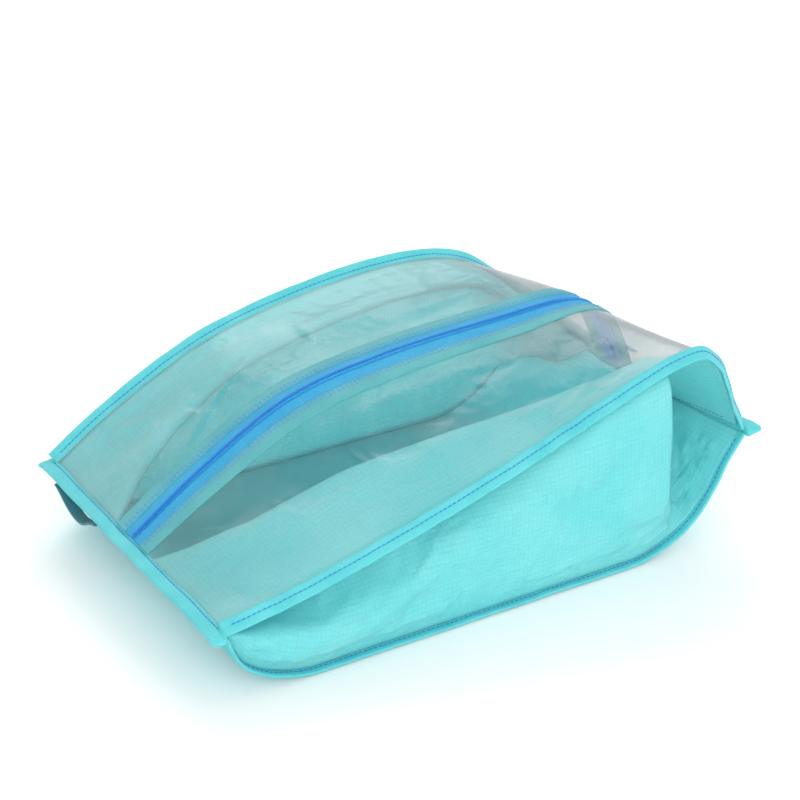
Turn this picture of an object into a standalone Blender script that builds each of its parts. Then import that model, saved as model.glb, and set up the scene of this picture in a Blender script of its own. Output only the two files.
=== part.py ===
"""Travel shoe bag: clear zipped top, folding side gussets, bound seams, webbing loop.

Metres, +Z up. The bag stands on its base at Z = 0. +X runs from the toe end (low,
with the webbing loop) to the heel end, +Y from the front gusset to the back one.
"""
import math

import bmesh
import bpy
import numpy as np
from mathutils import Matrix, Vector

# ---- driving dimensions -------------------------------------------------------
LENGTH = 0.374            # over the two end bindings
HALF_SEAM = 0.111         # centre line to a long seam
FABRIC = 0.0006           # panel thickness
BINDING = 0.0020          # thickness of a folded binding
FLANGE = 0.0055           # width of a long seam's binding
FLANGE_TILT = {-1: math.radians(-30), 1: math.radians(37)}   # top bindings, above level
END_FLANGE = 0.0078       # width of an end seam's binding
HEEL_BOW = 0.012          # how far the middle of the heel seam is pulled in
HEEL_TURN = (0.290, 0.362)  # the stretch over which that pull grows
TOE_HEIGHT = 0.0430       # height of the toe seam above the base
HEEL_HEIGHT = 0.0710      # height of the heel seam
GUSSET = 0.165            # width of a gusset's cloth, from seam to seam
GUSSET_REACH = 0.179      # a long gusset's fold lies (this - opening) / 2 inside the seam
WALL_END = (0.305, 0.335)   # where the standing wall turns into the heel's open fold
WALL_BULGE = 0.0075       # how far the filled gusset stands outside its seams
PLY_GAP = 0.0015          # spacing of the cloth layers where they meet in a seam
BASE_LIFT = 0.0022        # a gusset's lower edge clears the base binding by this
COIL_EDGE = (0.0003, 0.0024)   # one half of the zip chain, across
TAPE_EDGE = (0.0028, 0.0098)   # one zip tape, across
TRIM_EDGE = (0.0102, 0.0230)   # one trim strip, across
FILM_EDGE = 0.0234             # inner edge of a film window
COIL_DEPTH = 0.0020
RIDGE = {-1: 0.0036, 1: 0.0015}   # how far the film drops beside the zip, front and back
RIDGE_AT = 0.25           # where that drop is greatest, across from zip to seam
SLIDER_LENGTH = 0.0150
SLIDER_HALF_WIDTH = 0.0056
SLIDER_PLATE = 0.0012
SLIDER_CHANNEL = 0.0018   # zip surface to the inner face of a slider plate
SLIDER_FROM_SEAM = 0.0102  # slider's middle to the heel binding, along the zip
BRIDGE_BACK = 0.0015      # bridge's middle, towards the toe end of the slider
BRIDGE_HEIGHT = 0.0036
BRIDGE_LENGTH = 0.0072
BRIDGE_WIDTH = 0.0022
BRIDGE_BAR = 0.0012
PULL_LENGTH = 0.0210
PULL_WIDTH = 0.0068
PULL_THICKNESS = 0.0013
PULL_REST = math.radians(44)   # the pull tab leans this far off the slider
LOOP_FROM, LOOP_TO = 0.034, 0.092   # ends of the webbing loop along the toe seam
LOOP_INNER, LOOP_OUTER = 0.0076, 0.0002   # edges of the webbing, from the toe edge
LOOP_DROP = 0.0100
LOOP_TOP = 0.0402
LOOP_THICKNESS = 0.0014

# Seam lines from the toe seam to the heel seam: distance from the toe edge, height.
ZIP_LINE = [(0.0088, 0.0455), (0.054, 0.077), (0.114, 0.109), (0.182, 0.121), (0.261, 0.125),
            (0.306, 0.126), (0.326, 0.1235), (0.3385, 0.118), (0.352, 0.098), (0.3588, 0.0805),
            (0.3614, 0.0735)]
FRONT_LINE = [(0.0088, 0.0455), (0.056, 0.053), (0.120, 0.069), (0.185, 0.088), (0.252, 0.111),
              (0.287, 0.1235), (0.312, 0.130), (0.329, 0.130), (0.341, 0.122), (0.3495, 0.106),
              (0.357, 0.088), (0.3638, 0.0735)]
BACK_LINE = [(0.0088, 0.0455), (0.044, 0.069), (0.113, 0.103), (0.185, 0.119), (0.244, 0.124),
             (0.282, 0.1215), (0.308, 0.113), (0.328, 0.100), (0.348, 0.085), (0.3638, 0.0735)]
BASE_LINE = [(0.0088, 0.0405), (0.0125, 0.030), (0.0192, 0.019), (0.031, 0.010), (0.047, 0.0036),
             (0.062, 0.0004), (0.100, 0.0003), (0.190, 0.0003), (0.285, 0.0003), (0.303, 0.0045),
             (0.320, 0.0125), (0.3335, 0.024), (0.344, 0.038), (0.3525, 0.053), (0.3638, 0.0685)]

COLOURS = {
    "nylon": (0.17, 0.68, 0.70, 1.0),
    "binding": (0.13, 0.64, 0.68, 1.0),
    "film": (0.75, 0.82, 0.83, 0.35),
    "zip_tape": (0.09, 0.60, 0.86, 1.0),
    "coil": (0.02, 0.30, 0.80, 1.0),
    "slider": (0.05, 0.36, 0.75, 1.0),
    "webbing": (0.02, 0.20, 0.26, 1.0),
}


# ---- scene and materials ------------------------------------------------------
def clear_scene():
    for thing in list(bpy.data.objects):
        bpy.data.objects.remove(thing, do_unlink=True)


def collection(name):
    group = bpy.data.collections.new(name)
    bpy.context.scene.collection.children.link(group)
    return group


def material(name, roughness=0.6, metallic=0.0):
    mat = bpy.data.materials.get(name)
    if mat is None:
        mat = bpy.data.materials.new(name)
        mat.use_nodes = True
        shader = mat.node_tree.nodes["Principled BSDF"]
        shader.inputs["Base Color"].default_value = COLOURS[name]
        shader.inputs["Roughness"].default_value = roughness
        shader.inputs["Metallic"].default_value = metallic
        shader.inputs["Alpha"].default_value = COLOURS[name][3]
    return mat


# ---- curves -------------------------------------------------------------------
def smooth_step(value, start, end):
    t = min(max((value - start) / (end - start), 0.0), 1.0)
    return t * t * (3.0 - 2.0 * t)


def mix(a, b, t):
    return a + (b - a) * t


class Track:
    """A smooth line through points, read by the share of its length."""

    def __init__(self, points, steps=24, floor=-1.0):
        pts = [np.array(p, float) for p in points]
        pts = [2 * pts[0] - pts[1]] + pts + [2 * pts[-1] - pts[-2]]
        line = []
        for k in range(1, len(pts) - 2):
            for j in range(steps):
                line.append(self.span(pts[k - 1:k + 3], j / steps))
        line.append(pts[-2])
        self.line = np.array(line)
        self.line[:, 1] = np.maximum(self.line[:, 1], floor)
        runs = np.linalg.norm(np.diff(self.line, axis=0), axis=1)
        self.at = np.concatenate([[0.0], np.cumsum(runs)])
        self.length = self.at[-1]
        self.at = self.at / self.length

    @staticmethod
    def span(four, t):
        """Centripetal Catmull-Rom between the middle two of four points."""
        knots = [0.0]
        for a, b in zip(four, four[1:]):
            knots.append(knots[-1] + math.sqrt(np.linalg.norm(b - a)))
        s = mix(knots[1], knots[2], t)

        def lerp(p, q, i, j):
            return ((knots[j] - s) * p + (s - knots[i]) * q) / (knots[j] - knots[i])

        low = lerp(lerp(four[0], four[1], 0, 1), lerp(four[1], four[2], 1, 2), 0, 2)
        high = lerp(lerp(four[1], four[2], 1, 2), lerp(four[2], four[3], 2, 3), 1, 3)
        return lerp(low, high, 1, 2)

    def point(self, share):
        return np.array([np.interp(share, self.at, self.line[:, k])
                         for k in range(self.line.shape[1])])

    def beside(self, share, lift):
        """The point that stands off this line by lift, on its upper side."""
        step = 0.004
        way = self.point(min(share + step, 1.0)) - self.point(max(share - step, 0.0))
        way = way / np.linalg.norm(way)
        return self.point(share) + lift * np.array([-way[1], way[0]])


ZIP, FRONT, BACK = (Track(line) for line in (ZIP_LINE, FRONT_LINE, BACK_LINE))
BASE = Track(BASE_LINE, floor=FABRIC / 2)


def place(x, y, z):
    """A point of the bag: the heel's bow is added, and X is counted from the middle."""
    pull = HEEL_BOW * (1.0 - (y / (HALF_SEAM + FLANGE)) ** 2) * smooth_step(x, *HEEL_TURN)
    return Vector((x - max(pull, 0.0) - LENGTH / 2, y, z))


def seam_line(side):
    return FRONT if side < 0 else BACK


def top_point(share, across, side):
    """The closed top: from the zip (across 0) down to a long seam (across 1)."""
    zip_x, zip_z = ZIP.point(share)
    seam_x, seam_z = seam_line(side).point(share)
    blend = across * across * (2.0 - across)
    drop = across / RIDGE_AT * math.exp(1.0 - across / RIDGE_AT) * (1.0 - across * across)
    drop *= RIDGE[side] * max(math.sin(math.pi * share), 0.0) ** 0.7
    drop *= 1.0 - smooth_step(share, 0.66, 0.82)
    height = mix(zip_z, seam_z, blend) - drop
    return mix(zip_x, seam_x, across), side * across * HALF_SEAM, height


# ---- solids -------------------------------------------------------------------
def finish(name, mesh, mat, smooth=True):
    obj = bpy.data.objects.new(name, mesh)
    PARTS.objects.link(obj)
    mesh.materials.append(mat)
    if smooth:
        mesh.shade_smooth()
        mesh.set_sharp_from_angle(angle=math.radians(40))
    return obj


def sheet(name, mat, along, across, surface, thickness, offset=0.0):
    """An open grid carried onto a surface(u, v), then made solid."""
    bm = bmesh.new()
    bmesh.ops.create_grid(bm, x_segments=along, y_segments=across, size=0.5)
    for vert in bm.verts:
        vert.co = surface(vert.co.x + 0.5, vert.co.y + 0.5)
    mesh = bpy.data.meshes.new(name)
    bm.to_mesh(mesh)
    bm.free()
    obj = finish(name, mesh, mat)
    solid = obj.modifiers.new("Solidify", "SOLIDIFY")
    solid.thickness = thickness
    solid.offset = offset
    solid.use_even_offset = True
    return obj


def box(name, size, centre):
    """A plain block in the slider's own frame."""
    bm = bmesh.new()
    bmesh.ops.create_cube(bm, size=1.0)
    bmesh.ops.scale(bm, vec=size, verts=bm.verts)
    bmesh.ops.translate(bm, vec=centre, verts=bm.verts)
    mesh = bpy.data.meshes.new(name)
    bm.to_mesh(mesh)
    bm.free()
    return bpy.data.objects.new(name, mesh)


def combine(base, tool, operation):
    """Joins or cuts a solid with a helper, which stays hidden among the cutters."""
    CUTTERS.objects.link(tool)
    tool.matrix_world = base.matrix_world
    tool.hide_render = True
    tool.display_type = "WIRE"
    step = base.modifiers.new(tool.name, "BOOLEAN")
    step.operation = operation
    step.object = tool


# ---- panels -------------------------------------------------------------------
def base_panel():
    def surface(u, v):
        x, z = BASE.point(u)
        return place(x, mix(-HALF_SEAM, HALF_SEAM, v) * 1.004, z)

    return sheet("base_panel", material("nylon"), 30, 6, surface, FABRIC)


def lid_share(inward):
    """Where a point this far inside a long seam lies across the closed top."""
    return 1.0 - max(inward, 0.0) / HALF_SEAM


def lid_height(share, inward, side):
    return top_point(share, lid_share(inward), side)[2]


# How far each point across a gusset has left the lid's X for the base's X.
WALL_DROP = (0.0, 0.0, 0.0, 0.05, 0.10, 0.35, 0.60, 0.85, 1.0)
HEEL_DROP = (0.0, 0.12, 0.26, 0.42, 0.50, 0.58, 0.74, 0.88, 1.0)


def gusset_section(share, side):
    """Points across a gusset from the top seam to the base seam: inwards, height, X.

    Along the bag the cloth tucks in under the film, turns over a soft fold and
    comes back out to stand as a wall. Towards the heel it is a plain open V.
    """
    seam_x, top = seam_line(side).beside(share, -PLY_GAP)
    full = smooth_step(top - BASE.point(share)[1], PLY_GAP, 0.04)
    base_x, base = BASE.beside(share, mix(PLY_GAP, BASE_LIFT, full))
    gap = top - base
    tuck = (GUSSET_REACH - gap) / 2
    under = lid_height(share, tuck, side) - min(0.006, 0.06 * gap + PLY_GAP)
    turn = min(0.0045, 0.10 * gap + 0.0008)
    snug = smooth_step(seam_x, 0.19, 0.27)
    shade = mix(min(0.016, 0.30 * gap), 0.007, snug)
    bulge = WALL_BULGE * smooth_step(gap, 0.0, 0.06)
    wall = [(0.0012, top), (0.5 * tuck, lid_height(share, 0.5 * tuck, side) - 0.003), (tuck - turn, under),
            (tuck, under - turn), (tuck - turn, under - 2 * turn),
            (mix(0.001, 0.45 * tuck, mix(0.4, 0.05, snug)), top - shade),
            (-bulge, mix(top, base, 0.42)), (-bulge, mix(top, base, 0.72)), (-0.0002, base)]
    reach = math.sqrt(max((GUSSET / 2) ** 2 - (gap / 2) ** 2, 0.0))
    middle = mix(top, base, 0.5)
    fold = min(0.004, 0.10 * gap + 0.0008)
    heel = [(0.0012, top), (0.30 * reach, mix(top, middle, 0.22)),
            (0.62 * reach, mix(top, middle, 0.58)), (reach - fold, middle + fold),
            (reach, middle), (reach - fold, middle - fold), (0.62 * reach, mix(base, middle, 0.58)),
            (0.30 * reach, mix(base, middle, 0.22)), (-0.0002, base)]
    turned = smooth_step(seam_x, *WALL_END)
    inset = 1.4 * (seam_x - seam_line(side).point(share)[0])
    section = []
    for (in_a, z_a), (in_b, z_b), drop_a, drop_b in zip(wall, heel, WALL_DROP, HEEL_DROP):
        inward = mix(in_a, in_b, turned)
        height = min(mix(z_a, z_b, turned), lid_height(share, inward, side) - PLY_GAP)
        lid_x = top_point(share, lid_share(inward), side)[0]
        drop = mix(drop_a, drop_b, turned)
        section.append((inward, height, mix(lid_x + inset, base_x, drop)))
    return section


def gusset(name, side):
    def surface(u, v):
        inward, z, x = Track(gusset_section(u, side), steps=6).point(v)
        return place(x, side * (HALF_SEAM - inward), z)

    return sheet(name, material("nylon"), 34, 16, surface, FABRIC)


def film(name, side):
    inner = FILM_EDGE / HALF_SEAM

    def surface(u, v):
        return place(*top_point(u, mix(inner, 1.0, v), side))

    return sheet(name, material("film", roughness=0.25), 30, 6, surface, FABRIC)


# ---- seams --------------------------------------------------------------------
def top_binding(name, side):
    """The long top seam's binding stands out from the corner of the bag."""
    line = seam_line(side)

    def surface(u, v):
        reach = mix(0.0016, FLANGE, v)
        tilt = FLANGE_TILT[side]
        x, z = line.beside(mix(0.004, 0.994, u), math.sin(tilt) * reach)
        return place(x, side * (HALF_SEAM + math.cos(tilt) * reach), z)

    return sheet(name, material("binding"), 34, 1, surface, BINDING)


def base_binding(name, side):
    """The base seam's binding lies flat and outwards, clear of the cloth above it."""
    def surface(u, v):
        x, z = BASE.beside(mix(0.012, 0.988, u), (BINDING - FABRIC) / 2)
        return place(x, side * (HALF_SEAM + mix(0.0010, FLANGE, v)), z)

    return sheet(name, material("binding"), 34, 1, surface, BINDING)


def end_binding(name, x_from, x_to, height):
    edge = HALF_SEAM + FLANGE

    def surface(u, v):
        return place(mix(x_from, x_to, u), mix(-edge, edge, v), height)

    return sheet(name, material("binding"), 2, 14, surface, 1.5 * BINDING)


# ---- zip ----------------------------------------------------------------------
def zip_strip(name, side, edges, mat, span, depth):
    """A strip that follows the closed top, between two distances from its middle."""
    def surface(u, v):
        across = mix(edges[0], edges[1], v) / HALF_SEAM
        return place(*top_point(mix(span[0], span[1], u), across, side))

    return sheet(name, mat, 30, 1, surface, depth)


def zip_frame(share):
    """Axes of the zip at a share of its length: origin, along to the heel, out."""
    step = 0.01
    origin = place(*top_point(share, 0.0, 1))
    along = place(*top_point(share + step, 0.0, 1)) - place(*top_point(share - step, 0.0, 1))
    along.normalize()
    out = along.cross(Vector((0, 1, 0))).normalized()
    turn = Matrix((along, Vector((0, 1, 0)), out)).transposed().to_4x4()
    return Matrix.Translation(origin) @ turn


SLIDER_SHARE = 1.0 - SLIDER_FROM_SEAM / ZIP.length
BRIDGE_Z = SLIDER_CHANNEL + SLIDER_PLATE


def slider_body():
    """Two plates joined by the wedge that parts the chain, with the bridge on top."""
    plate = (SLIDER_LENGTH, 2 * SLIDER_HALF_WIDTH, SLIDER_PLATE)
    rise = SLIDER_CHANNEL + SLIDER_PLATE / 2
    body = box("slider_body", plate, (0, 0, rise))
    PARTS.objects.link(body)
    body.matrix_world = zip_frame(SLIDER_SHARE)
    body.data.materials.append(material("slider", roughness=0.35))
    combine(body, box("slider_lower_plate", plate, (0, 0, -rise)), "UNION")
    wedge = (0.0040, 0.0036, 2 * SLIDER_CHANNEL + SLIDER_PLATE)
    combine(body, box("slider_wedge", wedge, (SLIDER_LENGTH / 2 - 0.0026, 0, 0)), "UNION")
    bridge = (BRIDGE_LENGTH, BRIDGE_WIDTH, BRIDGE_HEIGHT)
    bridge_at = (-BRIDGE_BACK, 0, BRIDGE_Z + BRIDGE_HEIGHT / 2 - 0.0002)
    combine(body, box("slider_bridge", bridge, bridge_at), "UNION")
    gap = (BRIDGE_LENGTH - 2 * BRIDGE_BAR, 0.006, BRIDGE_HEIGHT - BRIDGE_BAR)
    gap_at = (-BRIDGE_BACK, 0, BRIDGE_Z + gap[2] / 2 - 0.00005)
    combine(body, box("slider_bridge_gap", gap, gap_at), "DIFFERENCE")
    return body


def pull_pivot():
    """The pull tab's axis lies across the zip, under the slider's bridge."""
    return zip_frame(SLIDER_SHARE) @ Vector((-BRIDGE_BACK, 0, BRIDGE_Z + 0.0012))


def pull_tab():
    """A flat tab whose end bar passes under the bridge; its origin is on its axis."""
    bar = 0.0014
    tab = box("pull_tab", (PULL_LENGTH, PULL_WIDTH, PULL_THICKNESS),
              (PULL_LENGTH / 2 - bar / 2, 0, 0))
    PARTS.objects.link(tab)
    tab.data.materials.append(material("slider", roughness=0.35))
    turn = zip_frame(SLIDER_SHARE).to_3x3().to_4x4() @ Matrix.Rotation(-PULL_REST, 4, "Y")
    tab.matrix_world = Matrix.Translation(pull_pivot()) @ turn
    eye = (0.0056, 0.0036, 0.004)
    combine(tab, box("pull_eye", eye, (bar / 2 + eye[0] / 2, 0, 0)), "DIFFERENCE")
    return tab


# ---- webbing loop -------------------------------------------------------------
def carry_loop():
    """Webbing sewn under the toe seam at both ends, hanging in a shallow bow."""
    def surface(u, v):
        drop = LOOP_DROP * math.sin(math.pi * u) ** 1.4
        return Vector((mix(LOOP_INNER, LOOP_OUTER, v) - LENGTH / 2,
                       mix(LOOP_FROM, LOOP_TO, u), LOOP_TOP - drop))

    return sheet("carry_loop", material("webbing", roughness=0.8), 16, 1, surface,
                 LOOP_THICKNESS)


def build():
    base_panel()
    for side, word in ((-1, "front"), (1, "back")):
        gusset(f"{word}_gusset", side)
        film(f"{word}_film", side)
        top_binding(f"{word}_top_binding", side)
        base_binding(f"{word}_base_binding", side)
        chain_end = SLIDER_SHARE - 0.001
        zip_strip(f"{word}_zip_coil", side, COIL_EDGE, material("coil", roughness=0.4),
                  (0.002, chain_end), COIL_DEPTH)
        zip_strip(f"{word}_zip_tape", side, TAPE_EDGE, material("zip_tape"),
                  (0.002, 0.997), FABRIC)
        zip_strip(f"{word}_zip_trim", side, TRIM_EDGE, material("binding"),
                  (0.025, 0.955), FABRIC)
    end_binding("toe_binding", 0.0, END_FLANGE, TOE_HEIGHT)
    end_binding("heel_binding", LENGTH - END_FLANGE, LENGTH, HEEL_HEIGHT)
    slider_body()
    pull_tab()
    carry_loop()


clear_scene()
PARTS = collection("shoe_bag")
CUTTERS = collection("cutters")
build()
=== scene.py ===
"""Looks of the travel shoe bag: cloth gussets, clear film top, bound and sewn seams, zip.

Every surface follows the seam lines of the CAD model, in metres and in its frame:
+X from the toe end to the heel end, +Y from the front gusset to the back one, +Z up.
"""
import math

import bpy
import numpy as np
from mathutils import Matrix, Vector


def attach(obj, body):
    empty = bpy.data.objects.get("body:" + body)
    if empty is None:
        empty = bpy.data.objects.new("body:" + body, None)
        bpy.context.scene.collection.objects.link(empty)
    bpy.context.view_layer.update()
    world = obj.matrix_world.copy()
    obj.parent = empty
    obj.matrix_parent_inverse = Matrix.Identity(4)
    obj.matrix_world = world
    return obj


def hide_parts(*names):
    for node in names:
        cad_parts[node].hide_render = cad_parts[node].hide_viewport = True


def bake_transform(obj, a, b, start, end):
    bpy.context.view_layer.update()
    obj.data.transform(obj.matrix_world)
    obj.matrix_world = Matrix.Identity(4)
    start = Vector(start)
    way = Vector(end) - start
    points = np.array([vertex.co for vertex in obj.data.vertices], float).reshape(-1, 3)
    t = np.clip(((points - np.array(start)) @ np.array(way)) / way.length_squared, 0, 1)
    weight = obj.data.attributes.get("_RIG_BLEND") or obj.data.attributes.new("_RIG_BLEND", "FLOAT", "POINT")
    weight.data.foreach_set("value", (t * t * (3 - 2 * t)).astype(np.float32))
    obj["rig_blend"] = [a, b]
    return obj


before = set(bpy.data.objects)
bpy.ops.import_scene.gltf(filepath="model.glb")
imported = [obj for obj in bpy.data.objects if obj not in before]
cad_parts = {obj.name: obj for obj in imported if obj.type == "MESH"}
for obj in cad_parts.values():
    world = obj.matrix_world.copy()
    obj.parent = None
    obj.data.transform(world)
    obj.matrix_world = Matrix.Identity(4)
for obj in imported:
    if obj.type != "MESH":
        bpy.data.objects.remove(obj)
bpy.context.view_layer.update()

# ---- dimensions, the CAD model's own
LENGTH = 0.374
HALF_SEAM = 0.111
FLANGE = 0.0055
FLANGE_TILT = {-1: math.radians(-30), 1: math.radians(37)}
HEEL_BOW = 0.012
HEEL_TURN = (0.290, 0.362)
TOE_HEIGHT, HEEL_HEIGHT = 0.0430, 0.0710
GUSSET, GUSSET_REACH = 0.165, 0.179
WALL_END = (0.305, 0.335)
WALL_BULGE = 0.0075
PLY_GAP, BASE_LIFT = 0.0015, 0.0022
FILM_EDGE = 0.0234
RIDGE, RIDGE_AT = {-1: 0.0036, 1: 0.0015}, 0.25
SLIDER_FROM_SEAM = 0.0102
BRIDGE_BACK = 0.0015
LOOP_FROM, LOOP_TO = 0.034, 0.092
LOOP_DROP, LOOP_TOP = 0.0100, 0.0402
PULL_REST = math.radians(44)

ZIP_LINE = [(0.0088, 0.0455), (0.054, 0.077), (0.114, 0.109), (0.182, 0.121), (0.261, 0.125),
            (0.306, 0.126), (0.326, 0.1235), (0.3385, 0.118), (0.352, 0.098), (0.3588, 0.0805),
            (0.3614, 0.0735)]
FRONT_LINE = [(0.0088, 0.0455), (0.056, 0.053), (0.120, 0.069), (0.185, 0.088), (0.252, 0.111),
              (0.287, 0.1235), (0.312, 0.130), (0.329, 0.130), (0.341, 0.122), (0.3495, 0.106),
              (0.357, 0.088), (0.3638, 0.0735)]
BACK_LINE = [(0.0088, 0.0455), (0.044, 0.069), (0.113, 0.103), (0.185, 0.119), (0.244, 0.124),
             (0.282, 0.1215), (0.308, 0.113), (0.328, 0.100), (0.348, 0.085), (0.3638, 0.0735)]
BASE_LINE = [(0.0088, 0.0405), (0.0125, 0.030), (0.0192, 0.019), (0.031, 0.010), (0.047, 0.0036),
             (0.062, 0.0004), (0.100, 0.0003), (0.190, 0.0003), (0.285, 0.0003), (0.303, 0.0045),
             (0.320, 0.0125), (0.3335, 0.024), (0.344, 0.038), (0.3525, 0.053), (0.3638, 0.0685)]


# ---- the scene's own; the trims are narrower here than in the CAD model
FILM_IN, FILM_OVER = 0.0190, 0.0018
TAPE_SPAN, TRIM_SPAN = (0.0012, 0.0112), (0.0096, 0.0207)
TOE_COVER, HEEL_COVER = 0.0094, 0.0112
END_GROOVE = 0.0078
TOP_LENGTH, WINDOW = 0.397, 0.092
LIGHTS = [("key", (-1.0, -1.9, 1.15), 1.6, 27.0), ("fill", (0.9, -1.8, 0.30), 1.6, 11.0),
          ("back", (0.7, 1.6, 1.6), 1.4, 20.0)]
AMBIENT = 0.87


# ---- curves
def step(value, start, end):
    t = np.clip((value - start) / (end - start), 0.0, 1.0)
    return t * t * (3.0 - 2.0 * t)


def mix(a, b, t):
    return a + (b - a) * t


def unit(v):
    return v / np.maximum(np.linalg.norm(v, axis=-1, keepdims=True), 1e-12)


class Track:
    """A smooth line through points, read by the share of its length."""

    def __init__(self, points, steps=24, floor=-1.0):
        pts = [np.array(p, float) for p in points]
        pts = [2 * pts[0] - pts[1]] + pts + [2 * pts[-1] - pts[-2]]
        line = []
        for k in range(1, len(pts) - 2):
            for j in range(steps):
                line.append(self.span(pts[k - 1:k + 3], j / steps))
        line.append(pts[-2])
        self.line = np.array(line)
        self.line[:, 1] = np.maximum(self.line[:, 1], floor)
        runs = np.linalg.norm(np.diff(self.line, axis=0), axis=1)
        self.at = np.concatenate([[0.0], np.cumsum(runs)])
        self.length = self.at[-1]
        self.at = self.at / self.length

    @staticmethod
    def span(four, t):
        """Centripetal Catmull-Rom between the middle two of four points."""
        knots = [0.0]
        for a, b in zip(four, four[1:]):
            knots.append(knots[-1] + math.sqrt(np.linalg.norm(b - a)))
        s = mix(knots[1], knots[2], t)

        def lerp(p, q, i, j):
            return ((knots[j] - s) * p + (s - knots[i]) * q) / (knots[j] - knots[i])

        low = lerp(lerp(four[0], four[1], 0, 1), lerp(four[1], four[2], 1, 2), 0, 2)
        high = lerp(lerp(four[1], four[2], 1, 2), lerp(four[2], four[3], 2, 3), 1, 3)
        return lerp(low, high, 1, 2)

    def point(self, share):
        return np.stack([np.interp(share, self.at, self.line[:, k])
                         for k in range(self.line.shape[1])], -1)

    def upward(self, share):
        """The direction off the line on its upper side."""
        step_ = 0.004
        way = unit(self.point(np.minimum(share + step_, 1.0))
                   - self.point(np.maximum(share - step_, 0.0)))
        return np.stack([-way[..., 1], way[..., 0]], -1)

    def beside(self, share, lift):
        return self.point(share) + np.asarray(lift)[..., None] * self.upward(share)


ZIP, FRONT, BACK = (Track(line) for line in (ZIP_LINE, FRONT_LINE, BACK_LINE))
BASE = Track(BASE_LINE, floor=0.0003)


def place(x, y, z):
    """Points of the bag: the heel's bow is added, and X is counted from the middle."""
    pull = HEEL_BOW * (1.0 - (y / (HALF_SEAM + FLANGE)) ** 2) * step(x, *HEEL_TURN)
    x, y, z = np.broadcast_arrays(x - np.maximum(pull, 0.0) - LENGTH / 2, y, z)
    return np.stack([x, y, z], -1)


def seam_line(side):
    return FRONT if side < 0 else BACK


def top_point(share, across, side):
    zips, seam = ZIP.point(share), seam_line(side).point(share)
    blend = across * across * (2.0 - across)
    drop = across / RIDGE_AT * np.exp(1.0 - across / RIDGE_AT) * (1.0 - across * across)
    drop = drop * RIDGE[side] * np.maximum(np.sin(math.pi * share), 0.0) ** 0.7
    drop = drop * (1.0 - step(share, 0.66, 0.82))
    return (mix(zips[..., 0], seam[..., 0], across), side * across * HALF_SEAM,
            mix(zips[..., 1], seam[..., 1], blend) - drop)


def lid(share, y, side, lift=0.0):
    """Points of the closed top at a distance y from its middle, lifted off it."""
    share, y = np.broadcast_arrays(np.asarray(share, float), np.asarray(y, float))

    def at(s, v):
        return place(*top_point(np.clip(s, 0, 1), v / HALF_SEAM, side))

    here = at(share, y)
    along = at(share + 0.002, y) - at(share - 0.002, y)
    over = at(share, y + 0.0005) - at(share, y - 0.0005)
    normal = unit(np.cross(along, over)) * side
    return here + np.asarray(lift)[..., None] * normal, normal


# ---- smooth irregularity
def ripple(a, b, seed, wave, count=14, stretch=1.0):
    """A seeded sum of waves of about one wavelength, between about -1 and 1."""
    rng = np.random.default_rng(seed)
    total = 0.0
    for _ in range(count):
        turn, phase = rng.uniform(0, 2 * math.pi, 2)
        k = 2 * math.pi / (wave * rng.uniform(0.7, 1.5))
        total = total + np.cos(k * (a * math.cos(turn) / stretch + b * math.sin(turn)) + phase)
    return total / math.sqrt(count)


# ---- meshes
def mesh_object(name, points, faces, uvs=None, carried=None):
    """A mesh with UVs in metres and, for a piece that bends, how far each point goes along."""
    mesh = bpy.data.meshes.new(name)
    mesh.from_pydata([tuple(p) for p in points], [], [tuple(f) for f in faces])
    mesh.update()
    if uvs is not None:
        layer = mesh.uv_layers.new(name="cloth")
        index = np.empty(len(mesh.loops), int)
        mesh.loops.foreach_get("vertex_index", index)
        layer.data.foreach_set("uv", np.asarray(uvs, np.float32)[index].ravel())
    if carried is not None:
        mesh.attributes.new("carried", "FLOAT", "POINT").data.foreach_set(
            "value", np.asarray(carried, np.float32).ravel())
    mesh.shade_smooth()
    obj = bpy.data.objects.new(name, mesh)
    bpy.context.scene.collection.objects.link(obj)
    return obj


def grid_normals(points):
    return unit(np.cross(np.gradient(points, axis=0), np.gradient(points, axis=1)))


def cells(n, m, flip=False, start=0):
    index = np.arange(n * m).reshape(n, m) + start
    quads = np.stack([index[:-1, :-1], index[1:, :-1], index[1:, 1:], index[:-1, 1:]], -1)
    quads = quads.reshape(-1, 4)
    return quads[:, ::-1] if flip else quads


def solid_sheet(name, points, thickness, uv, out=1.0, carried=None):
    """A grid of points made into a closed sheet; out is the side its normals should face."""
    n, m = points.shape[:2]
    normal = grid_normals(points) * out
    upper = (points + normal * thickness / 2).reshape(-1, 3)
    lower = (points - normal * thickness / 2).reshape(-1, 3)
    half = n * m
    faces = [cells(n, m, out < 0), cells(n, m, out > 0, half)]
    rim = np.arange(half).reshape(n, m)
    loop = np.concatenate([rim[:, 0], rim[-1, 1:], rim[-2::-1, -1], rim[0, -2:0:-1]])
    ahead = np.roll(loop, -1)
    side = np.stack([loop, loop + half, ahead + half, ahead], -1)
    faces.append(side[:, ::-1] if out < 0 else side)
    uv = np.concatenate([uv.reshape(-1, 2)] * 2)
    if carried is not None:
        carried = np.concatenate([carried.ravel()] * 2)
    return mesh_object(name, np.concatenate([upper, lower]),
                       np.concatenate(faces).tolist(), uv, carried)


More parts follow.
